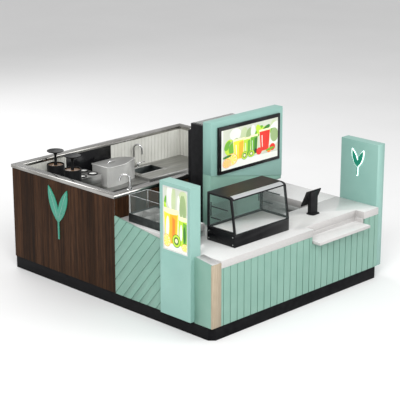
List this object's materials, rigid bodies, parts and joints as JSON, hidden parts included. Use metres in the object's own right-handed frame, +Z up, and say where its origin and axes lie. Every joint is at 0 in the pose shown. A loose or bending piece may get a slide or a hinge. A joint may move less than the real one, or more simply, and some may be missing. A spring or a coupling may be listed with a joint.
{
  "type": "open-topped juice-bar kiosk",
  "caption": "Walk-in counter kiosk without a roof: counters round a staff floor, with menu wall, display case, sink, fridge, lightbox pillar and wing wall.",
  "frame": {"origin": "centre of the overall box in plan, at floor level", "axes": "+X to the right along the front counter as a customer sees it, +Y from the front to the back wall, +Z up"},
  "size_m": [3.06, 3.54, 2.12],
  "materials": {
    "black_kick": "matt black laminate",
    "mint_panel": "satin mint paint, grooved",
    "mint_bright": "satin light mint paint",
    "birch": "pale matt laminate",
    "white_top": "polished white solid surface",
    "grey_board": "matt grey laminate",
    "sign_light": "lit white acrylic",
    "sign_green": "satin green acrylic",
    "poster": "backlit print",
    "stainless": "brushed",
    "dark_steel": "brushed, shaded",
    "walnut": "dark satin walnut boards",
    "white_lining": "satin off-white",
    "black_panel": "gloss black",
    "black_machine": "semi-gloss black",
    "chrome_tube": "polished",
    "screen": "glossy display in a black bezel",
    "clear_glass": "clear",
    "light_strip": "satin"
  },
  "bodies": {
    "kiosk": {"toe_kick": "black_kick", "front_panel": "mint_panel", "corner_strip": "birch", "raked_side_panel": "mint_panel", "counter_top": "white_top", "corner_capping": "white_top", "transaction_shelf": "white_top", "counter_backs": "grey_board", "wing_wall": "mint_bright", "wing_emblem": "sign_light", "return_top": "white_top", "return_cabinet": "grey_board", "lightbox_pillar": "mint_bright", "lightbox_poster": "poster", "low_counter_top": "white_top", "topping_base": "dark_steel", "topping_guard": "clear_glass", "walnut_left_wall": "walnut", "walnut_front_wall": "walnut", "walnut_emblem": "sign_green", "wall_cap": "stainless", "back_wall": "walnut", "right_back_wall": "walnut", "beadboard_lining": "white_lining", "black_lining": "black_panel", "prep_top": "stainless", "sink_top": "stainless", "sink_bowl": "dark_steel", "tap_collars": "chrome_tube", "inner_cabinet_fronts": "stainless", "ice_box": "stainless", "pot_housing": "stainless", "drink_mixer": "black_machine", "fridge_body": "black_machine", "fridge_door": "black_machine", "menu_board": "mint_bright", "menu_lower_wall": "mint_panel", "menu_screen": "screen", "case_base": "black_machine", "case_frame": "black_machine", "case_glass": "clear_glass", "case_light_strip": "light_strip", "case_shelves": "clear_glass", "till_stand": "black_machine"},
    "sink_tap": {"sink_tap_spout": "chrome_tube"},
    "rinse_tap": {"rinse_tap_spout": "chrome_tube"},
    "left_door": {"case_left_door": "clear_glass"},
    "right_door": {"case_right_door": "clear_glass"}
  },
  "joints": [
    {"name": "sink_tap_swivel", "type": "hinge", "parent": "kiosk", "child": "sink_tap", "pos_m": [0.42875, 1.636, 0.93], "axis": [0, 0, 1], "range_deg": [-60, 60]},
    {"name": "rinse_tap_swivel", "type": "hinge", "parent": "kiosk", "child": "rinse_tap", "pos_m": [-1.185, -0.068, 1.335], "axis": [0, 0, 1], "range_deg": [-60, 60]},
    {"name": "left_door_slide", "type": "slide", "parent": "kiosk", "child": "left_door", "axis": [1, 0, 0], "range_m": [0, 0.402]},
    {"name": "right_door_slide", "type": "slide", "parent": "kiosk", "child": "right_door", "axis": [-1, 0, 0], "range_m": [0, 0.402]}
  ]
}
